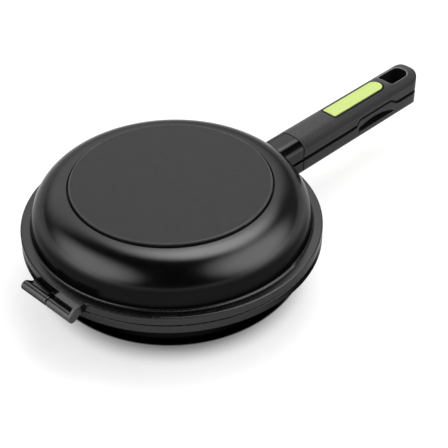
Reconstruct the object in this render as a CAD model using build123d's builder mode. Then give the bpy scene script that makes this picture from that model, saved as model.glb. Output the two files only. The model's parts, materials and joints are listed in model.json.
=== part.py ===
"""Double sided flip pan: two cast pans hinged rim to rim, each with half of one long handle.

Every piece is drawn in the frame of its half: origin on the pan's axis in the seam plane, +X along
the handle and +Z towards the half's own base. The upper half keeps that frame, and the lower half,
the same design with a deeper pan, turns it by 180 degrees about X. The finished pan stands on its
lower base with the origin at that base's centre. Millimetres throughout.
"""

import os
from math import cos, radians, tan

from build123d import *

# ---- cast pans ------------------------------------------------------------------------------
UPPER_PAN_HEIGHT = 50.4  # seam plane to the face of the base disc
LOWER_PAN_HEIGHT = 54.4
RIM_RADIUS = 138.0  # outside of the rim flange
RIM_THICKNESS = 8.7  # seam plane to the flat back of the flange
FLANGE_LEDGE = 9.4  # flat back of the flange, from its edge to the wall
WALL_DRAFT = 8.2  # degrees the wall leans in towards the base
WALL = 3.5
FLOOR = 4.5
SHOULDER_RADIUS = 33.5  # outside bend between wall and base
WALL_ROOT_FILLET = 2.0
RIM_CORNER_FILLET = 1.2
RIM_FACE_GAP = 0.3  # each sealing face stands this far off the seam plane
RIM_MOUTH_FILLET = 1.0

# ---- base disc ------------------------------------------------------------------------------
DISC_MARGIN = 0.3  # flat of the cast base left round the disc's seat
DISC_MOAT = 1.4  # open ring between the disc and its seat
DISC_PROUD = 2.6  # height of the disc's face above the cast base
DISC_RECESS = 1.5  # depth of its seat in the casting
DISC_EDGE_FILLET = 1.3

# ---- rim seal: a tongue on the upper flange presses a ring laid in a groove of the lower one --
SEAL_GROOVE_WIDTH = 6.0
SEAL_GROOVE_DEPTH = 3.4  # from the sealing face
SEAL_THICKNESS = 2.0
TONGUE_WIDTH = 3.0
TONGUE_CLEARANCE = 0.25  # tongue tip to the relaxed ring

# ---- hinge ----------------------------------------------------------------------------------
HINGE_OFFSET = 9.3  # pin axis outside the rim, in the seam plane
KNUCKLE_RADIUS = 4.5
KNUCKLE_SPLIT_Y = -1.9  # where the two knuckles meet
KNUCKLE_PLAY = 0.7
UPPER_KNUCKLE_END = 33.3  # outer end of the upper knuckle, measured from the handle's axis
LOWER_KNUCKLE_END = 30.8
ARM_START = 7.0  # side of the arm next to the split
ARM_ROOT = 6.5  # arm's root inside the rim
ARM_STEP = 2.8  # arm's outer face, measured back from the pin axis
CHEEK = 2.4  # plate that closes the knuckle's outer end
CHEEK_TOE = 1.5  # foot of the cheek, outside the rim
PIN_DIAMETER = 4.5
PIN_PLAY = 0.05  # radial, in the upper knuckle
PIN_END_GAP = 0.5
PIN_CHAMFER = 0.6

# ---- handle ---------------------------------------------------------------------------------
FERRULE_REACH = 24.3  # rim to the end of the ferrule
HANDLE_LENGTH = 184.7
HANDLE_HALF_WIDTH = 17.6
HANDLE_HEIGHT = 20.8  # seam plane to the crown
CROWN_DROP = 3.2  # crown's height above its own ends, before the shoulders are rounded
HANDLE_SHOULDER_RADIUS = 14.0
FLANK_TRIM = 1.1  # flat flanks cut off the shoulders
FLANK_EDGE_FILLET = 3.5
HANDLE_END_RADIUS = 13.5  # corners of the far end, in plan
HANDLE_FACE_GAP = 1.3  # each mating face stands this far off the seam plane
HANDLE_EDGE_FILLET = 1.1
FERRULE_WALL = 1.3
FERRULE_SADDLE_GAP = 0.4  # ferrule's scribed end to the casting
FERRULE_JOINT = 1.1  # open line between ferrule and handle
TANG_LENGTH = 42.7  # tang inside the handle
TANG_HALF_WIDTH = 9.0
TANG_BOTTOM = 6.6
TANG_TOP = 14.0
TANG_PLAY = 0.3

# ---- handle screws --------------------------------------------------------------------------
SCREW_COUNT = 2
SCREW_OFFSET = 11.7  # first screw, from the handle's start
SCREW_PITCH = 20.0
SCREW_DIAMETER = 4.0
SCREW_HEAD_DIAMETER = 8.0
SCREW_HEAD_HEIGHT = 2.3
SCREW_HEAD_SINK = 0.4  # head below the mating face
SCREW_PLAY = 0.3
SOCKET_FLATS = 2.5
SOCKET_DEPTH = 1.4
SCREW_END_GAP = 0.6  # screw's tip below the top of the tang

# ---- hanging hole ---------------------------------------------------------------------------
HOLE_END_WALL = 10.8  # handle left past the hole
HOLE_LENGTH = 30.8
HOLE_HALF_WIDTH = 9.4
HOLE_CORNER_RADIUS = 4.0
HOLE_END_RADIUS = 8.0
HOLE_LIP = 1.0  # rounding of the hole's upper edge

# ---- green inlay ----------------------------------------------------------------------------
INLAY_OFFSET = 54.5  # inlay's start, from the handle's start
INLAY_TO_HOLE = 7.6
INLAY_HALF_WIDTH = 8.8
INLAY_CORNER_RADIUS = 3.0
INLAY_END_RADIUS = 8.3
INLAY_DEPTH = 1.4
INLAY_PROUD = 0.25
INLAY_MARGIN = 0.7

# ---- interlock: a lug beside each mating face drops into a notch of the other half -----------
LUG_FROM_END = 39.5  # foot of the lug's gentle ramp, from the handle's end
LUG_TIP_RAMP = 11.5
LUG_TOP_LENGTH = 48.5
LUG_ROOT_RAMP = 5.2
LUG_HEIGHT = 5.9  # past the seam plane
LUG_INNER_Y = 10.2
LUG_TIP_BEND_RADIUS = 7.0
LUG_ROOT_BEND_RADIUS = 3.0
LUG_STRIP = 4.0  # flush strip of the lug's profile past its feet
LUG_PLAY = 1.0

# ---- finger scoop under the lug, with a flat ledge towards the base ---------------------------
SCOOP_BEFORE_LUG = 1.4  # blunt end, past the root of the lug's top
SCOOP_LENGTH = 59.5
SCOOP_PEAK = 27.5  # deepest place, from the blunt end
SCOOP_LEDGE_Z = 7.8
SCOOP_RADIUS = 8.6  # measured from an axis just outside the handle's flank
SCOOP_END_RADIUS = 5.0
SCOOP_AXIS_OUT = 0.9

# ---- magnet ----------------------------------------------------------------------------------
MAGNET_LENGTH = 24.0
MAGNET_WIDTH = 10.0
MAGNET_THICKNESS = 4.0
MAGNET_CORNER_RADIUS = 1.0
MAGNET_SINK = 0.1

OVERCUT = 1.0  # cutting bodies run this far past the faces they open

# ---- derived ---------------------------------------------------------------------------------
DRAFT = tan(radians(WALL_DRAFT))
WALL_FOOT_RADIUS = RIM_RADIUS - FLANGE_LEDGE
HINGE_X = -RIM_RADIUS - HINGE_OFFSET
HANDLE_START = RIM_RADIUS + FERRULE_REACH
HANDLE_END = HANDLE_START + HANDLE_LENGTH
FERRULE_END = HANDLE_START - FERRULE_JOINT
TANG_END = HANDLE_START + TANG_LENGTH
SCREW_X = [HANDLE_START + SCREW_OFFSET + count * SCREW_PITCH for count in range(SCREW_COUNT)]
SCREW_HEAD_Z = HANDLE_FACE_GAP + SCREW_HEAD_SINK
SCREW_TIP_Z = TANG_TOP - SCREW_END_GAP
HOLE_END = HANDLE_END - HOLE_END_WALL
HOLE_START = HOLE_END - HOLE_LENGTH
INLAY_START = HANDLE_START + INLAY_OFFSET
INLAY_END = HOLE_START - INLAY_TO_HOLE
LUG_FOOT_END = HANDLE_END - LUG_FROM_END
LUG_TOP_END = LUG_FOOT_END - LUG_TIP_RAMP
LUG_TOP_START = LUG_TOP_END - LUG_TOP_LENGTH
LUG_FOOT_START = LUG_TOP_START - LUG_ROOT_RAMP
SCOOP_START = LUG_TOP_START - SCOOP_BEFORE_LUG
MAGNET_X = (LUG_TOP_START + LUG_TOP_END) / 2
MAGNET_Z = HANDLE_FACE_GAP + MAGNET_SINK
GROOVE_FLOOR_Z = RIM_FACE_GAP + SEAL_GROOVE_DEPTH
SEAL_FACE_Z = GROOVE_FLOOR_Z - SEAL_THICKNESS  # ring's free face, inside the lower flange
TONGUE_TIP_Z = TONGUE_CLEARANCE - SEAL_FACE_Z  # the same face seen from the upper half, plus clearance

os.makedirs("parts", exist_ok=True)


def wall_radius(z, inset=0.0):
    """Radius of the wall's outer face at height z, moved in by a wall thickness."""
    return WALL_FOOT_RADIUS - (z - RIM_THICKNESS) * DRAFT - inset / cos(radians(WALL_DRAFT))


SEAL_RADIUS = (RIM_RADIUS + wall_radius(0, WALL)) / 2  # middle of the sealing face
FLAT_RADIUS = (
    wall_radius(max(UPPER_PAN_HEIGHT, LOWER_PAN_HEIGHT) - DISC_PROUD)
    - tan(radians(45 - WALL_DRAFT / 2)) * SHOULDER_RADIUS
)
SEAT_RADIUS = FLAT_RADIUS - DISC_MARGIN
DISC_RADIUS = SEAT_RADIUS - DISC_MOAT


def corner(sketch, x, y):
    """The sketch's vertex nearest to a point."""
    return sketch.vertices().sort_by_distance((x, y))[0]


def pan_outside(base_z, grow=0.0):
    """Outer profile of pan and flange, filled in to the axis, for revolving."""
    with BuildSketch(Plane.XZ) as outside:
        with BuildLine():
            Polyline(
                (0, RIM_FACE_GAP),
                (RIM_RADIUS, RIM_FACE_GAP),
                (RIM_RADIUS, RIM_THICKNESS),
                (WALL_FOOT_RADIUS, RIM_THICKNESS),
                (wall_radius(base_z), base_z),
                (0, base_z),
                close=True,
            )
        make_face()
        fillet(corner(outside, wall_radius(base_z), base_z), SHOULDER_RADIUS)
        fillet(corner(outside, WALL_FOOT_RADIUS, RIM_THICKNESS), WALL_ROOT_FILLET)
        fillet(corner(outside, RIM_RADIUS, RIM_THICKNESS), RIM_CORNER_FILLET)
        fillet(corner(outside, RIM_RADIUS, RIM_FACE_GAP), RIM_CORNER_FILLET / 2)
        if grow:
            offset(amount=grow, kind=Kind.INTERSECTION)
            Rectangle(2 * grow, 4 * base_z, align=(Align.MAX, Align.CENTER), mode=Mode.SUBTRACT)
    return outside.sketch


def handle_section(plane, inset=0.0, bottom=HANDLE_FACE_GAP, rounded=False):
    """Section of a half handle: flat mating face, flat flanks, round shoulders and a low crown."""
    crown_half = HANDLE_HALF_WIDTH + FLANK_TRIM
    crown_end_z = HANDLE_HEIGHT - CROWN_DROP
    with BuildSketch(plane) as section:
        with BuildLine():
            ThreePointArc((-crown_half, crown_end_z), (0, HANDLE_HEIGHT), (crown_half, crown_end_z))
            Polyline((crown_half, crown_end_z), (crown_half, 0), (-crown_half, 0), (-crown_half, crown_end_z))
        make_face()
        fillet(section.vertices().group_by(Axis.Y)[-1], HANDLE_SHOULDER_RADIUS)
        Rectangle(2 * HANDLE_HALF_WIDTH, 4 * HANDLE_HEIGHT, mode=Mode.INTERSECT)
        if rounded:
            fillet(section.vertices().group_by(Axis.Y)[1], FLANK_EDGE_FILLET)
        if inset:
            offset(amount=-inset, kind=Kind.INTERSECTION)
        with Locations((0, bottom)):
            Rectangle(
                4 * HANDLE_HALF_WIDTH, 4 * HANDLE_HEIGHT, align=(Align.CENTER, Align.MIN), mode=Mode.INTERSECT
            )
        if rounded and not inset:
            fillet(section.vertices().group_by(Axis.Y)[0], HANDLE_EDGE_FILLET)
    return section.sketch


def long_outline(plane, start, end, half_width, start_radius, end_radius, grow=0.0):
    """Plan shape along the handle with one corner radius at each end."""
    with BuildSketch(plane) as outline:
        with Locations((start, 0)):
            Rectangle(end - start, 2 * half_width, align=(Align.MIN, Align.CENTER))
        fillet(outline.vertices().group_by(Axis.X)[0], start_radius)
        fillet(outline.vertices().group_by(Axis.X)[-1], end_radius)
        if grow:
            offset(amount=grow)
    return outline.sketch


def crown_pad(proud, depth, grow):
    """Curved pad that follows the handle's crown, between two depths, inside the inlay's outline."""
    start, length = INLAY_START - grow - OVERCUT, INLAY_END - INLAY_START + 2 * (grow + OVERCUT)
    with BuildPart() as pad:
        extrude(handle_section(Plane.YZ.offset(start), -proud, 0), amount=length)
        under = handle_section(Plane.YZ.offset(start - OVERCUT), depth, -OVERCUT)
        extrude(under, amount=length + 2 * OVERCUT, mode=Mode.SUBTRACT)
        plan = long_outline(
            Plane.XY.offset(HANDLE_HEIGHT / 2),
            INLAY_START,
            INLAY_END,
            INLAY_HALF_WIDTH,
            INLAY_CORNER_RADIUS,
            INLAY_END_RADIUS,
            grow,
        )
        extrude(plan, amount=HANDLE_HEIGHT, mode=Mode.INTERSECT)
    return pad.part


def lug_profile(plane, side, grow=0.0):
    """Side view of a lug that rises from a mating face past the seam plane, with eased bends.

    side is -1 for the half's own lug, which points down, and +1 for the mating half's.
    """
    foot, top = -side * HANDLE_FACE_GAP, side * LUG_HEIGHT
    root = foot - side * 2 * HANDLE_EDGE_FILLET
    bends = {
        (LUG_FOOT_START, foot): LUG_ROOT_BEND_RADIUS,
        (LUG_TOP_START, top): LUG_ROOT_BEND_RADIUS,
        (LUG_TOP_END, top): LUG_TIP_BEND_RADIUS,
        (LUG_FOOT_END, foot): LUG_TIP_BEND_RADIUS,
    }
    start, end = LUG_FOOT_START - LUG_STRIP, LUG_FOOT_END + LUG_STRIP
    with BuildSketch(plane) as profile:
        with BuildLine():
            Polyline((start, root), (start, foot), *bends, (end, foot), (end, root), close=True)
        make_face()
        for bend, radius in bends.items():
            fillet(corner(profile, *bend), radius)
        if grow:
            offset(amount=grow, kind=Kind.INTERSECTION)
    return profile.sketch


# ---- cast shells -----------------------------------------------------------------------------
def cast_shell(base_z, knuckle_start, knuckle_end, bore_diameter, bore_end, tongue):
    """Pan, rim flange, hinge knuckle and handle boss, cast in one piece.

    The knuckle runs from knuckle_start to knuckle_end along Y; its blind bore stops at bore_end.
    """
    boss_start = WALL_FOOT_RADIUS - WALL - SHOULDER_RADIUS / 2
    with BuildPart() as shell:
        revolve(pan_outside(base_z), axis=Axis.Z)

        # handle boss inside the ferrule, and the tang that the handle is screwed to
        boss = handle_section(Plane.YZ.offset(boss_start), FERRULE_WALL, HANDLE_FACE_GAP + FERRULE_WALL, True)
        extrude(boss, amount=FERRULE_END - boss_start)
        with BuildSketch(Plane.YZ.offset(boss_start)) as tang:
            with Locations((0, TANG_BOTTOM)):
                Rectangle(2 * TANG_HALF_WIDTH, TANG_TOP - TANG_BOTTOM, align=(Align.CENTER, Align.MIN))
        extrude(amount=TANG_END - boss_start)

        # hinge arm, flush with the back of the flange, with its knuckle
        arm_root, arm_face = ARM_ROOT - RIM_RADIUS, HINGE_X + ARM_STEP
        with BuildSketch(Plane.XZ.offset(ARM_START)):
            with Locations((arm_root, RIM_FACE_GAP)):
                Rectangle(arm_root - arm_face, RIM_THICKNESS - RIM_FACE_GAP, align=(Align.MAX, Align.MIN))
        extrude(amount=-knuckle_end - ARM_START)
        with BuildSketch(Plane.XZ.offset(-knuckle_start)):
            with Locations((HINGE_X, 0)):
                Circle(KNUCKLE_RADIUS)
        extrude(amount=knuckle_start - knuckle_end)

        # cheek: plate stretched from the arm round the knuckle's outer end
        toe = -RIM_RADIUS - CHEEK_TOE
        with BuildSketch(Plane.XZ.offset(-knuckle_end - CHEEK)) as cheek:
            with BuildLine():
                CenterArc((HINGE_X, 0), KNUCKLE_RADIUS, 0, 360)
                Polyline((arm_face, RIM_THICKNESS), (toe, RIM_THICKNESS), (toe, RIM_FACE_GAP))
            make_hull()
        extrude(amount=CHEEK)

        # cavity: wall and floor follow the outside at their own thickness
        floor_z = base_z - FLOOR
        with BuildSketch(Plane.XZ) as cavity:
            with BuildLine():
                Polyline(
                    (0, 0),
                    (wall_radius(0, WALL), 0),
                    (wall_radius(floor_z, WALL), floor_z),
                    (0, floor_z),
                    close=True,
                )
            make_face()
            fillet(corner(cavity, wall_radius(floor_z, WALL), floor_z), SHOULDER_RADIUS - WALL)
        revolve(axis=Axis.Z, mode=Mode.SUBTRACT)
        mouth = shell.edges().filter_by(GeomType.CIRCLE).filter_by_position(Axis.Z, 0, RIM_FACE_GAP + 0.01)
        fillet(mouth.sort_by(SortBy.RADIUS)[0], RIM_MOUTH_FILLET)

        # seat for the base disc
        with BuildSketch(Plane.XY.offset(base_z - DISC_RECESS)):
            Circle(SEAT_RADIUS)
        extrude(amount=DISC_RECESS + OVERCUT, mode=Mode.SUBTRACT)

        # tongue or groove round the sealing face
        with BuildSketch(Plane.XZ):
            if tongue:
                with Locations((SEAL_RADIUS, TONGUE_TIP_Z)):
                    Rectangle(TONGUE_WIDTH, RIM_THICKNESS / 2 - TONGUE_TIP_Z, align=(Align.CENTER, Align.MIN))
            else:
                with Locations((SEAL_RADIUS, 0)):
                    Rectangle(SEAL_GROOVE_WIDTH, GROOVE_FLOOR_Z, align=(Align.CENTER, Align.MIN))
        revolve(axis=Axis.Z, mode=Mode.ADD if tongue else Mode.SUBTRACT)

        # pin bore, and threaded holes up into the tang
        with BuildSketch(Plane.XZ.offset(-knuckle_start)):
            with Locations((HINGE_X, 0)):
                Circle(bore_diameter / 2)
        extrude(amount=knuckle_start - bore_end, mode=Mode.SUBTRACT)
        with BuildSketch(Plane.XY):
            with Locations(*[(x, 0) for x in SCREW_X]):
                Circle(SCREW_DIAMETER / 2)
        extrude(amount=SCREW_TIP_Z, mode=Mode.SUBTRACT)
    return shell.part


def base_disc(base_z):
    """Flat disc let into the cast base."""
    with BuildPart() as disc:
        with BuildSketch(Plane.XY.offset(base_z - DISC_RECESS)):
            Circle(DISC_RADIUS)
        extrude(amount=DISC_RECESS + DISC_PROUD)
        fillet(disc.edges().group_by(Axis.Z)[-1], DISC_EDGE_FILLET)
    return disc.part


def ferrule_collar(base_z):
    """Bright collar scribed to the pan's wall and flange."""
    start = WALL_FOOT_RADIUS - SHOULDER_RADIUS
    plane = Plane.YZ.offset(start)
    with BuildPart() as collar:
        extrude(handle_section(plane, rounded=True), amount=FERRULE_END - start)
        core = handle_section(plane, FERRULE_WALL, HANDLE_FACE_GAP + FERRULE_WALL, True)
        extrude(core, amount=FERRULE_END - start, mode=Mode.SUBTRACT)
        revolve(pan_outside(base_z, FERRULE_SADDLE_GAP), axis=Axis.Z, mode=Mode.SUBTRACT)
    return collar.part


# ---- handle half -----------------------------------------------------------------------------
with BuildPart() as handle:
    extrude(handle_section(Plane.YZ.offset(HANDLE_START)), amount=HANDLE_LENGTH)
    plan = long_outline(
        Plane.XY,
        HANDLE_START - 2 * HANDLE_END_RADIUS,
        HANDLE_END,
        HANDLE_HALF_WIDTH,
        HANDLE_END_RADIUS,
        HANDLE_END_RADIUS,
    )
    extrude(plan, amount=2 * HANDLE_HEIGHT, mode=Mode.INTERSECT)

    # rounded edges all along the flanks and round the far end
    flanks = handle.faces().filter_by(lambda face: abs(face.normal_at().Z) < 0.001).sort_by(Axis.X)[1:]
    level = [edge for edge in flanks.edges() if abs(edge.tangent_at(0.5).Z) < 0.9]
    fillet([edge for edge in level if edge.center().Z > SCOOP_LEDGE_Z], FLANK_EDGE_FILLET)
    mating = handle.faces().sort_by(Axis.Z)[0]
    fillet(mating.edges().sort_by(Axis.X)[1:], HANDLE_EDGE_FILLET)

    # lug on the far side, notch for the mating lug on the near side
    extrude(lug_profile(Plane.XZ.offset(-LUG_INNER_Y), -1), amount=LUG_INNER_Y - HANDLE_HALF_WIDTH)
    notch = lug_profile(Plane.XZ.offset(LUG_INNER_Y - LUG_PLAY), 1, LUG_PLAY)
    extrude(notch, amount=HANDLE_HALF_WIDTH, mode=Mode.SUBTRACT)

    # finger scoop in the flank above the lug: a quarter turn about the ledge's outer line
    scoop_axis_y = HANDLE_HALF_WIDTH + SCOOP_AXIS_OUT
    with BuildSketch(Plane.XY.offset(SCOOP_LEDGE_Z)) as scoop:
        with BuildLine():
            blunt = (SCOOP_START, scoop_axis_y - SCOOP_END_RADIUS)
            peak = (SCOOP_START + SCOOP_PEAK, scoop_axis_y - SCOOP_RADIUS)
            tip = (SCOOP_START + SCOOP_LENGTH, scoop_axis_y)
            ThreePointArc(blunt, peak, tip)
            Polyline(tip, (SCOOP_START, scoop_axis_y), blunt)
        make_face()
    revolve(axis=Axis((0, scoop_axis_y, SCOOP_LEDGE_Z), (1, 0, 0)), revolution_arc=90, mode=Mode.SUBTRACT)

    # recess for the inlay, and the hanging hole with a lip on its outer edge
    add(crown_pad(OVERCUT, INLAY_DEPTH, INLAY_MARGIN), mode=Mode.SUBTRACT)
    below = Plane.XY.offset(-LUG_HEIGHT - OVERCUT)
    hole = long_outline(below, HOLE_START, HOLE_END, HOLE_HALF_WIDTH, HOLE_CORNER_RADIUS, HOLE_END_RADIUS)
    extrude(hole, amount=HANDLE_HEIGHT + LUG_HEIGHT + 2 * OVERCUT, mode=Mode.SUBTRACT)
    crown_edges = handle.edges().filter_by_position(Axis.X, HOLE_START - 0.1, HOLE_END + 0.1)
    fillet(
        [
            edge
            for edge in crown_edges.filter_by_position(Axis.Y, -HOLE_HALF_WIDTH - 0.1, HOLE_HALF_WIDTH + 0.1)
            if edge.center().Z > HANDLE_HEIGHT / 2 and abs(edge.tangent_at(0.5).Z) < 0.9
        ],
        HOLE_LIP,
    )

    # pocket for the tang
    with BuildSketch(Plane.YZ.offset(HANDLE_START)):
        with Locations((0, TANG_BOTTOM)):
            Rectangle(
                2 * (TANG_HALF_WIDTH + TANG_PLAY),
                TANG_TOP - TANG_BOTTOM + TANG_PLAY,
                align=(Align.CENTER, Align.MIN),
            )
    extrude(amount=TANG_LENGTH + TANG_PLAY, mode=Mode.SUBTRACT)

    # countersunk screw holes and magnet seat in the mating face
    upwards = (Align.CENTER, Align.CENTER, Align.MIN)
    with Locations(*[(x, 0, SCREW_HEAD_Z) for x in SCREW_X]):
        Cylinder(
            SCREW_HEAD_DIAMETER / 2,
            SCREW_HEAD_SINK + OVERCUT,
            align=(Align.CENTER, Align.CENTER, Align.MAX),
            mode=Mode.SUBTRACT,
        )
        Cone(SCREW_HEAD_DIAMETER / 2, SCREW_DIAMETER / 2, SCREW_HEAD_HEIGHT, align=upwards, mode=Mode.SUBTRACT)
        Cylinder(SCREW_DIAMETER / 2 + SCREW_PLAY, TANG_BOTTOM, align=upwards, mode=Mode.SUBTRACT)
    with BuildSketch(Plane.XY):
        with Locations((MAGNET_X, 0)):
            RectangleRounded(MAGNET_LENGTH, MAGNET_WIDTH, MAGNET_CORNER_RADIUS)
    extrude(amount=MAGNET_Z + MAGNET_THICKNESS, mode=Mode.SUBTRACT)

# ---- handle screws ---------------------------------------------------------------------------
with BuildPart() as handle_screws:
    for x in SCREW_X:
        with BuildSketch(Plane.XZ) as turned:
            with BuildLine():
                Polyline(
                    (x, SCREW_HEAD_Z),
                    (x + SCREW_HEAD_DIAMETER / 2, SCREW_HEAD_Z),
                    (x + SCREW_DIAMETER / 2, SCREW_HEAD_Z + SCREW_HEAD_HEIGHT),
                    (x + SCREW_DIAMETER / 2, SCREW_TIP_Z),
                    (x, SCREW_TIP_Z),
                    close=True,
                )
            make_face()
        revolve(axis=Axis((x, 0, 0), (0, 0, 1)))
    with BuildSketch(Plane.XY.offset(SCREW_HEAD_Z)):
        with Locations(*[(x, 0) for x in SCREW_X]):
            RegularPolygon(SOCKET_FLATS / 2, 6, major_radius=False)
    extrude(amount=SOCKET_DEPTH, mode=Mode.SUBTRACT)

# ---- magnet ----------------------------------------------------------------------------------
with BuildPart() as magnet:
    with BuildSketch(Plane.XY.offset(MAGNET_Z)):
        with Locations((MAGNET_X, 0)):
            RectangleRounded(MAGNET_LENGTH, MAGNET_WIDTH, MAGNET_CORNER_RADIUS)
    extrude(amount=MAGNET_THICKNESS)

# ---- rim seal, in the lower flange's groove ---------------------------------------------------
with BuildPart() as rim_seal:
    with BuildSketch(Plane.XZ):
        with Locations((SEAL_RADIUS, SEAL_FACE_Z)):
            Rectangle(SEAL_GROOVE_WIDTH, SEAL_THICKNESS, align=(Align.CENTER, Align.MIN))
    revolve(axis=Axis.Z)

# ---- hinge pin: fast in the lower knuckle, turning in the upper one ----------------------------
pin_upper_end = -UPPER_KNUCKLE_END + CHEEK + PIN_END_GAP
pin_lower_end = LOWER_KNUCKLE_END - CHEEK
with BuildPart() as hinge_pin:
    with BuildSketch(Plane.XZ.offset(-pin_lower_end)):
        with Locations((HINGE_X, 0)):
            Circle(PIN_DIAMETER / 2)
    extrude(amount=pin_lower_end - pin_upper_end)
    chamfer(hinge_pin.edges().group_by(Axis.Y)[0], PIN_CHAMFER)


# ---- both halves in place ----------------------------------------------------------------------
def export(piece, half, name):
    """Stand a piece in its half of the closed pan, name it and write its file."""
    with BuildPart() as placed:
        with Locations(half):
            add(piece)
    placed.part.label = name
    export_step(placed.part, f"parts/{name}.step")


upper = Location((0, 0, LOWER_PAN_HEIGHT))
lower = Location((0, 0, LOWER_PAN_HEIGHT), (180, 0, 0))

upper_shell = cast_shell(
    UPPER_PAN_HEIGHT - DISC_PROUD,
    KNUCKLE_SPLIT_Y - KNUCKLE_PLAY / 2,
    -UPPER_KNUCKLE_END,
    PIN_DIAMETER + 2 * PIN_PLAY,
    -UPPER_KNUCKLE_END + CHEEK,
    tongue=True,
)
lower_shell = cast_shell(
    LOWER_PAN_HEIGHT - DISC_PROUD,
    -KNUCKLE_SPLIT_Y - KNUCKLE_PLAY / 2,
    -LOWER_KNUCKLE_END,
    PIN_DIAMETER,
    -LOWER_KNUCKLE_END + CHEEK,
    tongue=False,
)
export(upper_shell, upper, "upper_shell")
export(lower_shell, lower, "lower_shell")
export(rim_seal.part, lower, "rim_seal")
export(hinge_pin.part, upper, "hinge_pin")

inlay = crown_pad(INLAY_PROUD, INLAY_DEPTH, 0)
for side, half, height in (("lower", lower, LOWER_PAN_HEIGHT), ("upper", upper, UPPER_PAN_HEIGHT)):
    export(base_disc(height - DISC_PROUD), half, f"{side}_base_disc")
    export(ferrule_collar(height - DISC_PROUD), half, f"{side}_ferrule")
    export(handle.part, half, f"{side}_handle")
    export(handle_screws.part, half, f"{side}_handle_screws")
    export(inlay, half, f"{side}_handle_inlay")
    export(magnet.part, half, f"{side}_handle_magnet")
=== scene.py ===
"""Double sided flip pan on a pale studio floor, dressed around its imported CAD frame.

Metres, in the frame's own axes: origin under the lower base disc, +X along the handle, +Z up.
"""

import json
from math import cos, pi, radians, sin

import bpy
from mathutils import Matrix, Vector


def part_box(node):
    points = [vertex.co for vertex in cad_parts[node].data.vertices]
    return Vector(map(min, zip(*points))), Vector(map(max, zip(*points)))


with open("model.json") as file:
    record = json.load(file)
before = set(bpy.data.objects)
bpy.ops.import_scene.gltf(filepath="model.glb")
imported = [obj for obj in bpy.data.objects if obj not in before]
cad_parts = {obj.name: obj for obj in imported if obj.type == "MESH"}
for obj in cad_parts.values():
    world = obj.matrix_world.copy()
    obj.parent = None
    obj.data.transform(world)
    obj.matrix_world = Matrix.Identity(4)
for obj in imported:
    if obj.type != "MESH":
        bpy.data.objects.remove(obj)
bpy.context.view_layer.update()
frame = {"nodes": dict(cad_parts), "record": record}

SEAM_HEIGHT = frame["record"]["behaviour"]["joints"][0]["pos_m"][2]

# Camera as fitted to the rim and handle. The azimuth is from +X to the picture's right, and the
# focal length is in the photograph's pixels.
HANDLE_AZIMUTH = radians(45.18)
ELEVATION = radians(37.772)
ROLL = radians(-0.448)
IMAGE_PIXELS = 448
FOCAL_PIXELS = 1308.0
CAMERA_FROM_SEAM = Vector((-0.6407, -0.7038, 0.7373))

# Level directions of the picture, and up.
RIGHT = Vector((cos(HANDLE_AZIMUTH), -sin(HANDLE_AZIMUTH), 0))
AWAY = Vector((sin(HANDLE_AZIMUTH), cos(HANDLE_AZIMUTH), 0))
UP = Vector((0, 0, 1))

NOISE_MIDDLE = (0.3, 0.7)  # nearly all of a noise lies between these
NOISE_DETAIL, FINE_DETAIL, RELIEF_DETAIL = 3.0, 5.0, 2.0


# ---- node helpers ----------------------------------------------------------------------------
def new_material(name):
    """An empty node material with its Principled shader, ready for sockets and textures."""
    material = bpy.data.materials.new(name)
    material.use_nodes = True
    return material, material.node_tree, material.node_tree.nodes["Principled BSDF"]


def rgba(colour):
    """An opaque colour from its three parts, or from one grey level."""
    red, green, blue = colour if isinstance(colour, tuple) else (colour, colour, colour)
    return (red, green, blue, 1)


def maths(tree, operation, first, second=0.0):
    """A maths node on two signals or numbers."""
    node = tree.nodes.new("ShaderNodeMath")
    node.operation = operation
    for socket, value in zip(node.inputs, (first, second)):
        if isinstance(value, (int, float)):
            socket.default_value = value
        else:
            tree.links.new(value, socket)
    return node.outputs[0]


def vector_maths(tree, operation, first, second):
    """The outputs of a vector maths node on a signal and another signal or a fixed vector."""
    node = tree.nodes.new("ShaderNodeVectorMath")
    node.operation = operation
    tree.links.new(first, node.inputs[0])
    if isinstance(second, bpy.types.NodeSocket):
        tree.links.new(second, node.inputs[1])
    else:
        node.inputs[1].default_value = second
    return node.outputs


def split(tree, vector):
    """The three parts of a vector signal."""
    node = tree.nodes.new("ShaderNodeSeparateXYZ")
    tree.links.new(vector, node.inputs[0])
    return node.outputs


def scaled(tree, signal, source, target, smooth=False):
    """A signal's range mapped onto another range, and held at its ends."""
    ranged = tree.nodes.new("ShaderNodeMapRange")
    if smooth:
        ranged.interpolation_type = "SMOOTHSTEP"
    ranged.inputs["From Min"].default_value, ranged.inputs["From Max"].default_value = source
    ranged.inputs["To Min"].default_value, ranged.inputs["To Max"].default_value = target
    tree.links.new(signal, ranged.inputs["Value"])
    return ranged.outputs["Result"]


def mixed(tree, factor, first, second, kind="RGBA"):
    """first where the factor is 0 and second where it is 1."""
    mix = tree.nodes.new("ShaderNodeMix")
    mix.data_type = kind
    sockets = [socket for socket in mix.inputs if socket.enabled]
    for socket, signal in zip(sockets, (factor, first, second)):
        tree.links.new(signal, socket)
    return next(socket for socket in mix.outputs if socket.enabled)


def noise(tree, scale, detail):
    """A noise texture in object space, in features per metre."""
    coords = tree.nodes.new("ShaderNodeTexCoord")
    texture = tree.nodes.new("ShaderNodeTexNoise")
    texture.inputs["Scale"].default_value = scale
    texture.inputs["Detail"].default_value = detail
    tree.links.new(coords.outputs["Object"], texture.inputs["Vector"])
    return texture.outputs["Fac"]


def varied(tree, scale, low, high):
    """A number that wanders between two values, with so many features per metre."""
    return scaled(tree, noise(tree, scale, NOISE_DETAIL), NOISE_MIDDLE, (low, high))


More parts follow.
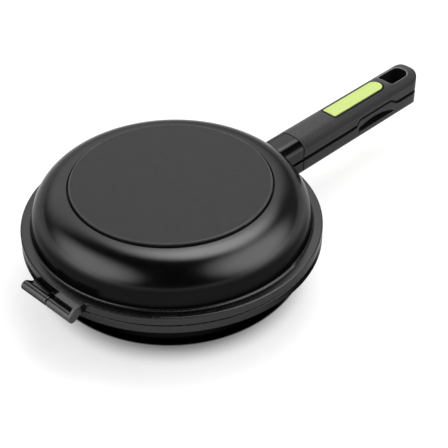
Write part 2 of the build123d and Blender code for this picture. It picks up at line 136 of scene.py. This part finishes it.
def mottled(tree, scale, dark, light, detail=NOISE_DETAIL):
    """A colour or grey that wanders between two, with so many features per metre."""
    ramp = tree.nodes.new("ShaderNodeValToRGB")
    for element, place, colour in zip(ramp.color_ramp.elements, NOISE_MIDDLE, (dark, light)):
        element.position = place
        element.color = rgba(colour)
    tree.links.new(noise(tree, scale, detail), ramp.inputs["Fac"])
    return ramp.outputs["Color"]


def relief(tree, shader, scale, depth):
    """Fine surface relief: features per metre and their real depth in metres."""
    node = tree.nodes.new("ShaderNodeBump")
    node.inputs["Distance"].default_value = depth
    tree.links.new(noise(tree, scale, RELIEF_DETAIL), node.inputs["Height"])
    tree.links.new(node.outputs["Normal"], shader.inputs["Normal"])


class Place:
    """Where each point lies and how it faces, as signals in the frame's axes.

    x, y, z: from the seam's centre. side, height: from the handle's middle plane and the seam.
    radius: from the pan's axis. up: 1 facing up, -1 facing down. level: 1 on a level face, 0 on
    an upright one.
    """

    def __init__(self, tree):
        self.tree = tree
        coords = tree.nodes.new("ShaderNodeTexCoord")
        self.normal = coords.outputs["Normal"]
        seam_centre = (0, 0, SEAM_HEIGHT)
        self.position = vector_maths(tree, "SUBTRACT", coords.outputs["Object"], seam_centre)[0]
        self.x, self.y, self.z = split(tree, self.position)
        self.side = maths(tree, "ABSOLUTE", self.y)
        self.height = maths(tree, "ABSOLUTE", self.z)
        squares = [maths(tree, "MULTIPLY", part, part) for part in (self.x, self.y)]
        self.radius = maths(tree, "SQRT", maths(tree, "ADD", *squares))
        self.up = split(tree, self.normal)[2]
        self.level = maths(tree, "ABSOLUTE", self.up)

    def where(self, *ranges):
        """1 where each signal lies in its range: (signal, low, high), None for an open end."""
        inside = 1.0
        for signal, low, high in ranges:
            for operation, limit in (("GREATER_THAN", low), ("LESS_THAN", high)):
                if limit is not None:
                    test = maths(self.tree, operation, signal, limit)
                    inside = maths(self.tree, "MULTIPLY", inside, test)
        return inside

    def from_outline(self, low_x, high_x, half_width, start_radius, end_radius):
        """Distance outside a long outline with rounded corners, in metres; negative inside it."""
        tree = self.tree
        middle, half_length = (low_x + high_x) / 2, (high_x - low_x) / 2
        far_end = maths(tree, "GREATER_THAN", self.x, middle)
        radius = scaled(tree, far_end, (0, 1), (start_radius, end_radius))
        along = maths(tree, "ABSOLUTE", maths(tree, "SUBTRACT", self.x, middle))
        along = maths(tree, "ADD", maths(tree, "SUBTRACT", along, half_length), radius)
        across = maths(tree, "ADD", maths(tree, "SUBTRACT", self.side, half_width), radius)
        past = [maths(tree, "MAXIMUM", part, 0.0) for part in (along, across)]
        squares = [maths(tree, "POWER", part, 2.0) for part in past]
        outside = maths(tree, "SQRT", maths(tree, "ADD", *squares))
        inner = maths(tree, "MINIMUM", maths(tree, "MAXIMUM", along, across), 0.0)
        return maths(tree, "SUBTRACT", maths(tree, "ADD", outside, inner), radius)

    def past_lug(self, feet, top, rise):
        """Distance past the seam line with its lug, towards the other half.

        The lower half has its lug at -Y and the upper half at +Y, so up and down swap between the
        sides. feet and top are the x where a lug starts and ends, at its foot and at its top.
        """
        tree = self.tree
        uphill = scaled(tree, self.x, (feet[0], top[0]), (0.0, rise))
        downhill = scaled(tree, self.x, (top[1], feet[1]), (rise, 0.0))
        flip = maths(tree, "MULTIPLY", maths(tree, "SIGN", self.y), -1.0)
        outward = maths(tree, "MULTIPLY", self.z, flip)
        return maths(tree, "SUBTRACT", outward, maths(tree, "MINIMUM", uphill, downhill))


# ---- materials -------------------------------------------------------------------------------
# Finishes are named ranges: a grey, colour, mirror strength or roughness is (features per metre,
# lowest, highest), with the noise's detail after them where it is finer, and relief is (features
# per metre, depth in metres).


def mirror_material(name, edge_mirror):
    """A material with no colour of its own: its base colour is how much it mirrors face on.

    edge_mirror is how strongly it mirrors at a glancing angle.
    """
    material, tree, shader = new_material(name)
    shader.inputs["Metallic"].default_value = 1.0
    shader.inputs["Specular Tint"].default_value = rgba(edge_mirror)
    return material, tree, shader


def as_colour(tree, level):
    """A grey colour from one signal."""
    colour = tree.nodes.new("ShaderNodeCombineColor")
    for socket in colour.inputs:
        tree.links.new(level, socket)
    return colour.outputs[0]


FLANGE_HEIGHT = 0.0092  # just past the rim flange, where the wall starts
WALL_TOP = 0.034  # where the wall turns into the shoulder
WALL_LEVEL = (0.32, 0.56)  # from the upright wall, which gets painted shade, to the part of the shoulder that mirrors fully
HINGE_X = -0.1384  # just outside the rim: past it lie only the hinge's arm and knuckle
MOAT = (0.0914, 0.0936)  # radii of the groove round the base disc
MOAT_HEIGHT = 0.044  # the groove's bottom lies past this height
FACES_INWARD = -0.002  # dot product of position and normal; below it is the cooking side

OUTSIDE_MIRROR = (14, 0.043, 0.049)
WALL_SHADE_MIRROR, FLANGE_MIRROR, MOAT_SHADE_MIRROR = 0.18, 0.8, 0.12  # parts of the outside's mirror strength; the wall's and the groove's are painted shade
OUTSIDE_ROUGHNESS = (42, 0.15, 0.19)
WALL_DULLING = 0.10  # roughness added at the wall's foot
INSIDE_GREY, INSIDE_ROUGHNESS = (900, 0.030, 0.040), (60, 0.38, 0.46)
HINGE_GREY, HINGE_ROUGHNESS = (160, 0.066, 0.076), (90, 0.26, 0.32)
COATING_RELIEF = (1600, 0.000004)


def pan_coating(name, edge_mirror):
    """Mirror black outside with painted shade on the upright wall and in the groove round the disc,
    duller down the wall, satin non-stick inside, plain grey hinge.
    """
    material, tree, shader = mirror_material(name, edge_mirror)
    at = Place(tree)
    outward = vector_maths(tree, "DOT_PRODUCT", at.position, at.normal)["Value"]
    inside = at.where((outward, None, FACES_INWARD))
    hinge = at.where((at.x, None, HINGE_X))
    flange = at.where((at.height, None, FLANGE_HEIGHT))
    # painted shade: the groove round the base disc mirrors far less
    moat = at.where((at.radius, *MOAT), (at.height, MOAT_HEIGHT, None))

    # painted shade: upright faces mirror far less than the level shoulder, except on the flange
    mirror = scaled(tree, at.level, WALL_LEVEL, (WALL_SHADE_MIRROR, 1.0), smooth=True)
    mirror = maths(tree, "MAXIMUM", mirror, maths(tree, "MULTIPLY", flange, FLANGE_MIRROR))
    mirror = maths(tree, "MULTIPLY", mirror, scaled(tree, moat, (0, 1), (1.0, MOAT_SHADE_MIRROR)))
    mirror = maths(tree, "MULTIPLY", mirror, varied(tree, *OUTSIDE_MIRROR))
    colour = mixed(tree, inside, as_colour(tree, mirror), mottled(tree, *INSIDE_GREY))
    colour = mixed(tree, hinge, colour, mottled(tree, *HINGE_GREY))
    dulling = scaled(tree, at.height, (FLANGE_HEIGHT, WALL_TOP), (WALL_DULLING, 0.0))
    gloss = maths(tree, "ADD", varied(tree, *OUTSIDE_ROUGHNESS), dulling)
    gloss = mixed(tree, inside, gloss, varied(tree, *INSIDE_ROUGHNESS), "FLOAT")
    gloss = mixed(tree, hinge, gloss, varied(tree, *HINGE_ROUGHNESS), "FLOAT")
    tree.links.new(colour, shader.inputs["Base Color"])
    tree.links.new(gloss, shader.inputs["Roughness"])
    relief(tree, shader, *COATING_RELIEF)
    return material


EDGE_HIGHLIGHT_FROM = 0.0902  # radius where the ring of painted highlight starts
EDGE_HIGHLIGHT_LEVEL = 0.25  # the disc's side is more upright than this and gets no painted highlight
DISC_SPECULAR = 0.27
DISC_GREY, DISC_ROUGHNESS = (620, 0.0045, 0.0095, FINE_DETAIL), (150, 0.52, 0.56)
# painted highlight: the lighter, smoother ring along the disc's edge
EDGE_HIGHLIGHT_GREY, EDGE_HIGHLIGHT_ROUGHNESS = (120, 0.030, 0.040), (90, 0.34, 0.42)
DISC_RELIEF = (2600, 0.00002)


def base_coating():
    """Matte dark grey, with a painted highlight: lighter and smoother in a thin ring along the
    disc's edge.
    """
    material, tree, shader = new_material("base_coating")
    shader.inputs["Specular IOR Level"].default_value = DISC_SPECULAR
    at = Place(tree)
    # painted highlight along the disc's edge
    painted_light = at.where((at.radius, EDGE_HIGHLIGHT_FROM, None), (at.level, EDGE_HIGHLIGHT_LEVEL, None))
    colour = mixed(tree, painted_light, mottled(tree, *DISC_GREY), mottled(tree, *EDGE_HIGHLIGHT_GREY))
    gloss = varied(tree, *DISC_ROUGHNESS)
    gloss = mixed(tree, painted_light, gloss, varied(tree, *EDGE_HIGHLIGHT_ROUGHNESS), "FLOAT")
    tree.links.new(colour, shader.inputs["Base Color"])
    tree.links.new(gloss, shader.inputs["Roughness"])
    relief(tree, shader, *DISC_RELIEF)
    return material


CROWN_LEVEL = (0.88, 0.96)  # from the shoulder's painted shade to the light crown
FLANK_LEVEL = (0.50, 0.72)  # from the light flank to the shoulder's painted shade
SHOULDER_SHADE_MIRROR, FLANK_MIRROR = 0.03, 0.7  # parts of the crown's mirror strength; the shoulder's is painted shade
FERRULE_EDGE_MIRROR = 0.6
FERRULE_MIRROR, FERRULE_ROUGHNESS = (30, 0.043, 0.048), (60, 0.12, 0.17)
FERRULE_RELIEF = (1500, 0.000003)


def ferrule_finish():
    """Glossy black collar with its mirror strength painted by slope: light on its crown and flank,
    painted shade on the shoulder between.
    """
    material, tree, shader = mirror_material("ferrule_finish", FERRULE_EDGE_MIRROR)
    at = Place(tree)
    # painted shade: mirror strength set by slope, black on the shoulder
    crown = scaled(tree, at.level, CROWN_LEVEL, (SHOULDER_SHADE_MIRROR, 1.0), smooth=True)
    flank = scaled(tree, at.level, FLANK_LEVEL, (FLANK_MIRROR, 0.0), smooth=True)
    mirror = maths(tree, "MAXIMUM", crown, flank)
    mirror = maths(tree, "MULTIPLY", mirror, varied(tree, *FERRULE_MIRROR))
    tree.links.new(as_colour(tree, mirror), shader.inputs["Base Color"])
    tree.links.new(varied(tree, *FERRULE_ROUGHNESS), shader.inputs["Roughness"])
    relief(tree, shader, *FERRULE_RELIEF)
    return material


# Outlines: start and end along the handle, half-width, corner radius at the start and the end.
INLAY_LOW, INLAY_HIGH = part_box("upper_handle_inlay")
INLAY_OUTLINE = (INLAY_LOW[0], INLAY_HIGH[0], INLAY_HIGH[1], 0.003, 0.0083)
HOLE_OUTLINE = (0.3054, 0.3362, 0.0094, 0.004, 0.008)

MATING_HEIGHT = 0.008  # mating faces and lugs end below this
MATING_TURN = 0.45  # a mating face is turned at least this far towards the other half
HOLE_MARGIN = 0.0002  # takes the hole's walls themselves into their zone
UPRIGHT = 0.3  # walls are less level than this
SCOOP = (0.2455, 0.3062)  # start and end of the finger scoop along the handle
SCOOP_SIDE, SCOOP_HEIGHT = (0.0088, 0.01745), 0.0083  # inside the flank, and past its ledge
LUG_FEET, LUG_TOP, LUG_RISE = (0.2423, 0.3075), (0.2475, 0.2960), 0.0059
SEAM_SHADE = (-0.0006, 0.0024)  # painted shade along the seam, from just inside a lug's edge to past the gap
CROWN_HEIGHT = 0.012  # the crown lies past this height
INLAY_SHADE = 0.0015  # painted shade round the inlay reaches this far
HOLE_LIP_HIGHLIGHT = (0.0001, 0.0013)  # painted highlight on the lip, from the hole's edge outwards
CROWN_LIGHT_SLOPE = (0.6, 0.98)  # from the flank's black to the crown's lighter grey: painted light on the level top

HANDLE_SPECULAR = 0.17
# painted light: the level crown is lighter than the upright flank
FLANK_GREY = (420, 0.004, 0.010, FINE_DETAIL)
CROWN_GREY = (420, 0.028, 0.044, FINE_DETAIL)
HANDLE_ROUGHNESS = (80, 0.36, 0.42)
LIP_HIGHLIGHT_GREY, LIP_HIGHLIGHT_ROUGHNESS = (200, 0.13, 0.16), (80, 0.20, 0.26)
# painted shade: near-black on the mating face, the hole's walls, the scoop, the seam and round the
# inlay
SHADED_GREY, SHADED_ROUGHNESS = (200, 0.0003, 0.0006), (80, 0.85, 0.95)
HANDLE_RELIEF = (3200, 0.00001)


def handle_plastic(name, facing):
    """Satin black plastic with painted shade at its mating face, seam, inlay and hollows,
    and painted light on its level crown and on the hole's lip.

    facing is the way the mating face looks: +1 up, -1 down.
    """
    material, tree, shader = new_material(name)
    shader.inputs["Specular IOR Level"].default_value = HANDLE_SPECULAR
    at = Place(tree)
    towards_other = maths(tree, "MULTIPLY", at.up, facing)
    hole_start, hole_end, hole_side = HOLE_OUTLINE[:3]
    # painted shade where it meets the other half, along the seam, round the inlay and in its
    # hollows
    mating_face = at.where((at.height, None, MATING_HEIGHT), (towards_other, MATING_TURN, None))
    hole_wall = at.where(
        (at.x, hole_start - HOLE_MARGIN, hole_end + HOLE_MARGIN),
        (at.side, None, hole_side + HOLE_MARGIN),
        (at.level, None, UPRIGHT),
    )
    scoop = at.where((at.x, *SCOOP), (at.side, *SCOOP_SIDE), (at.height, None, SCOOP_HEIGHT))
    seam = at.where((at.past_lug(LUG_FEET, LUG_TOP, LUG_RISE), *SEAM_SHADE))
    crown = (at.height, CROWN_HEIGHT, None)
    round_inlay = at.where((at.from_outline(*INLAY_OUTLINE), None, INLAY_SHADE), crown)
    shaded = mating_face
    for zone in (hole_wall, scoop, seam, round_inlay):
        shaded = maths(tree, "MAXIMUM", shaded, zone)
    # painted highlight on the hanging hole's lip
    lip = at.where((at.from_outline(*HOLE_OUTLINE), *HOLE_LIP_HIGHLIGHT), (at.level, UPRIGHT, None), crown)

    # painted light on the level crown
    painted_light = scaled(tree, at.level, CROWN_LIGHT_SLOPE, (0.0, 1.0))
    colour = mixed(tree, painted_light, mottled(tree, *FLANK_GREY), mottled(tree, *CROWN_GREY))
    colour = mixed(tree, lip, colour, mottled(tree, *LIP_HIGHLIGHT_GREY))
    colour = mixed(tree, shaded, colour, mottled(tree, *SHADED_GREY))
    gloss = varied(tree, *HANDLE_ROUGHNESS)
    gloss = mixed(tree, lip, gloss, varied(tree, *LIP_HIGHLIGHT_ROUGHNESS), "FLOAT")
    gloss = mixed(tree, shaded, gloss, varied(tree, *SHADED_ROUGHNESS), "FLOAT")
    tree.links.new(colour, shader.inputs["Base Color"])
    tree.links.new(gloss, shader.inputs["Roughness"])
    relief(tree, shader, *HANDLE_RELIEF)
    return material


INLAY_RIM = -0.0008  # the rim of painted shade, inwards from the inlay's outline
GREEN = (40, (0.435, 0.548, 0.136), (0.462, 0.572, 0.151))
GREEN_EDGE_SHADE = (200, (0.035, 0.055, 0.004), (0.050, 0.075, 0.006))
GREEN_ROUGHNESS = (120, 0.40, 0.48)
GREEN_RELIEF = (2400, 0.000008)


def inlay_green():
    """Bright green plastic with a line of painted shade round its edge."""
    material, tree, shader = new_material("inlay_green")
    at = Place(tree)
    # painted shade along the inlay's edge
    rim = at.where((at.from_outline(*INLAY_OUTLINE), INLAY_RIM, None))
    colour = mixed(tree, rim, mottled(tree, *GREEN), mottled(tree, *GREEN_EDGE_SHADE))
    tree.links.new(colour, shader.inputs["Base Color"])
    tree.links.new(varied(tree, *GREEN_ROUGHNESS), shader.inputs["Roughness"])
    relief(tree, shader, *GREEN_RELIEF)
    return material


COLOUR_CLOUD, GLOSS_CLOUD = 14, 42  # features per metre of a plain surface's variation


def surface(name, dark, light, roughness, grain, metallic=0.0):
    """A finish with slow colour variation, uneven gloss and fine relief.

    dark and light are colours or greys, roughness its lowest and highest, and grain the relief.
    """
    material, tree, shader = new_material(name)
    shader.inputs["Metallic"].default_value = metallic
    tree.links.new(mottled(tree, COLOUR_CLOUD, dark, light), shader.inputs["Base Color"])
    tree.links.new(varied(tree, GLOSS_CLOUD, *roughness), shader.inputs["Roughness"])
    relief(tree, shader, *grain)
    return material


def dress(node, material):
    """Give a CAD node its finish."""
    frame["nodes"][node].material_slots[0].material = material


BASE = base_coating()
FERRULE = ferrule_finish()
INLAY = inlay_green()
SEAL = surface("seal_silicone", 0.03, 0.04, (0.55, 0.65), (1800, 0.00001))
STEEL = surface("screw_steel", 0.50, 0.58, (0.22, 0.30), (2500, 0.000003), metallic=1.0)
PIN = surface("pin_steel", 0.52, 0.60, (0.18, 0.26), (2500, 0.000003), metallic=1.0)
NICKEL = surface(
    "magnet_plating",
    (0.56, 0.54, 0.50),
    (0.62, 0.60, 0.56),
    (0.18, 0.24),
    (900, 0.000002),
    metallic=1.0,
)

# Each half, how strongly its pan mirrors at a glancing angle (the lower pan's weaker mirror is
# painted shade), and the way its mating face looks.
for half, pan_edge_mirror, facing in (("upper", 0.60, -1), ("lower", 0.25, 1)):
    dress(f"{half}_shell", pan_coating(f"{half}_pan_coating", pan_edge_mirror))
    dress(f"{half}_base_disc", BASE)
    dress(f"{half}_ferrule", FERRULE)
    dress(f"{half}_handle", handle_plastic(f"{half}_handle_plastic", facing))
    dress(f"{half}_handle_inlay", INLAY)
    dress(f"{half}_handle_screws", STEEL)
    dress(f"{half}_handle_magnet", NICKEL)
dress("rim_seal", SEAL)
dress("hinge_pin", PIN)


# ---- floor, camera and light -----------------------------------------------------------------
FLOOR_SIZE = 12
FLOOR_COLOUR, FLOOR_ROUGHNESS, FLOOR_SPECULAR = 0.46, 0.9, 0.1
FLOOR_GLOW = 0.60  # near the pan, and 1 far out
FLOOR_NEAR, FLOOR_FAR = 1.0, 4.0
SHADE_REACH = 0.035  # how far off the pan ambient occlusion dims the glow: a painted contact shadow, added to the lamps' own shadow
OPENNESS = (0.20, 0.58)  # unshaded part of a point's surroundings, from darkest to undimmed
DARKEST_GLOW = 0.22  # part of the glow that is left at the darkest


def background_rays(tree):
    """1 for rays from the camera, a mirror or glass, 0 for rays that only carry light."""
    path = tree.nodes.new("ShaderNodeLightPath")
    seen = path.outputs["Is Camera Ray"]
    for other in ("Is Glossy Ray", "Is Transmission Ray"):
        seen = maths(tree, "MAXIMUM", seen, path.outputs[other])
    return seen


def pale_floor():
    """A wide pale plane that looks white outside the pan's shadow, with a painted contact shadow
    from ambient occlusion near the pan.
    """
    material, tree, shader = new_material("floor_paper")
    shader.inputs["Base Color"].default_value = rgba(FLOOR_COLOUR)
    shader.inputs["Roughness"].default_value = FLOOR_ROUGHNESS
    shader.inputs["Specular IOR Level"].default_value = FLOOR_SPECULAR
    # painted shadow: ambient occlusion dims the glow near the pan
    shade = tree.nodes.new("ShaderNodeAmbientOcclusion")
    shade.inputs["Distance"].default_value = SHADE_REACH
    open_air = scaled(tree, shade.outputs["AO"], OPENNESS, (DARKEST_GLOW, 1.0))
    reach = (FLOOR_NEAR, FLOOR_FAR)
    glowing = scaled(tree, Place(tree).radius, reach, (FLOOR_GLOW, 1.0), smooth=True)
    glowing = maths(tree, "MULTIPLY", glowing, open_air)
    glow = tree.nodes.new("ShaderNodeEmission")
    tree.links.new(maths(tree, "MULTIPLY", background_rays(tree), glowing), glow.inputs["Strength"])
    total = tree.nodes.new("ShaderNodeAddShader")
    tree.links.new(shader.outputs[0], total.inputs[0])
    tree.links.new(glow.outputs[0], total.inputs[1])
    tree.links.new(total.outputs[0], tree.nodes["Material Output"].inputs["Surface"])
    bpy.ops.mesh.primitive_plane_add(size=FLOOR_SIZE, location=(0, 0, 0))
    floor = bpy.context.object
    floor.name = "floor"
    floor.data.materials.append(material)


def add_camera():
    """Camera at the fitted place; its axes are level ones tipped down and rolled."""
    tipped = sin(ELEVATION) * AWAY + cos(ELEVATION) * UP
    picture_right = cos(ROLL) * RIGHT + sin(ROLL) * tipped
    picture_up = cos(ROLL) * tipped - sin(ROLL) * RIGHT
    data = bpy.data.cameras.new("camera")
    data.lens = FOCAL_PIXELS / IMAGE_PIXELS * data.sensor_width
    data.sensor_fit = "HORIZONTAL"
    camera = bpy.data.objects.new("camera", data)
    axes = Matrix((picture_right, picture_up, picture_right.cross(picture_up))).transposed()
    place = CAMERA_FROM_SEAM + SEAM_HEIGHT * UP
    camera.matrix_world = Matrix.Translation(place) @ axes.to_4x4()
    bpy.context.collection.objects.link(camera)
    bpy.context.scene.camera = camera


# Name, azimuth and elevation in degrees, width, height and its middle's radiance.
# Azimuth 0 is behind the pan as the camera looks, and 90 is to the right.
SOFTBOXES = (
    ("top_softbox", 20, 65, 2.8, 2.7, 5.4),
    ("back_softbox", -16, 34, 5.2, 3.0, 1.38),
    ("right_softbox", 102, 36, 4.8, 4.4, 3.0),
    ("left_softbox", -112, 31, 5.2, 3.6, 2.55),
)
SOFTBOX_DISTANCE = 2.6
SOFTBOX_FADE = (0.12, 0.5)  # from full to dark, in panel sides from its middle
PANEL_MIDDLE = (0.5, 0.5, 0.0)


def softbox(name, azimuth, elevation, width, height, radiance):
    """A panel facing the pan, brightest in its middle and fading out to its edges."""
    azimuth, elevation = radians(azimuth), radians(elevation)
    level = cos(azimuth) * AWAY + sin(azimuth) * RIGHT
    direction = cos(elevation) * level + sin(elevation) * UP
    data = bpy.data.lights.new(name, "AREA")
    data.shape = "RECTANGLE"
    data.size, data.size_y = width, height
    data.energy = radiance * pi * width * height
    data.use_nodes = True
    tree = data.node_tree
    on_panel = tree.nodes.new("ShaderNodeNewGeometry").outputs["Parametric"]
    from_middle = vector_maths(tree, "DISTANCE", on_panel, PANEL_MIDDLE)["Value"]
    strength = scaled(tree, from_middle, SOFTBOX_FADE, (1.0, 0.0), smooth=True)
    tree.links.new(strength, tree.nodes["Emission"].inputs["Strength"])
    lamp = bpy.data.objects.new(name, data)
    lamp.location = direction * SOFTBOX_DISTANCE + SEAM_HEIGHT * UP
    lamp.rotation_euler = direction.to_track_quat("Z", "Y").to_euler()
    bpy.context.collection.objects.link(lamp)


SKY_BRIGHTNESS = (0.04, 0.30)  # from the camera's side to behind the pan
SKY_TURN = (0.1, 0.9)  # how far a direction points away from the camera, for those
HORIZON_BAND = (0.17, 0.21)  # upward part of a direction, over which the white band ends


def studio_world():
    """Dim surroundings, lighter behind the pan, and a white horizon wherever it can be seen."""
    world = bpy.data.worlds.new("studio")
    world.use_nodes = True
    tree = world.node_tree
    direction = tree.nodes.new("ShaderNodeTexCoord").outputs["Generated"]
    behind = vector_maths(tree, "DOT_PRODUCT", direction, AWAY)["Value"]
    sky = scaled(tree, behind, SKY_TURN, SKY_BRIGHTNESS, smooth=True)
    low = scaled(tree, split(tree, direction)[2], HORIZON_BAND, (1.0, 0.0), smooth=True)
    horizon = maths(tree, "MULTIPLY", background_rays(tree), low)
    background = tree.nodes["Background"]
    background.inputs["Color"].default_value = rgba(1)
    tree.links.new(maths(tree, "MAXIMUM", sky, horizon), background.inputs["Strength"])
    bpy.context.scene.world = world


pale_floor()
add_camera()
for panel in SOFTBOXES:
    softbox(*panel)
studio_world()
bpy.context.scene.view_settings.view_transform = "Standard"
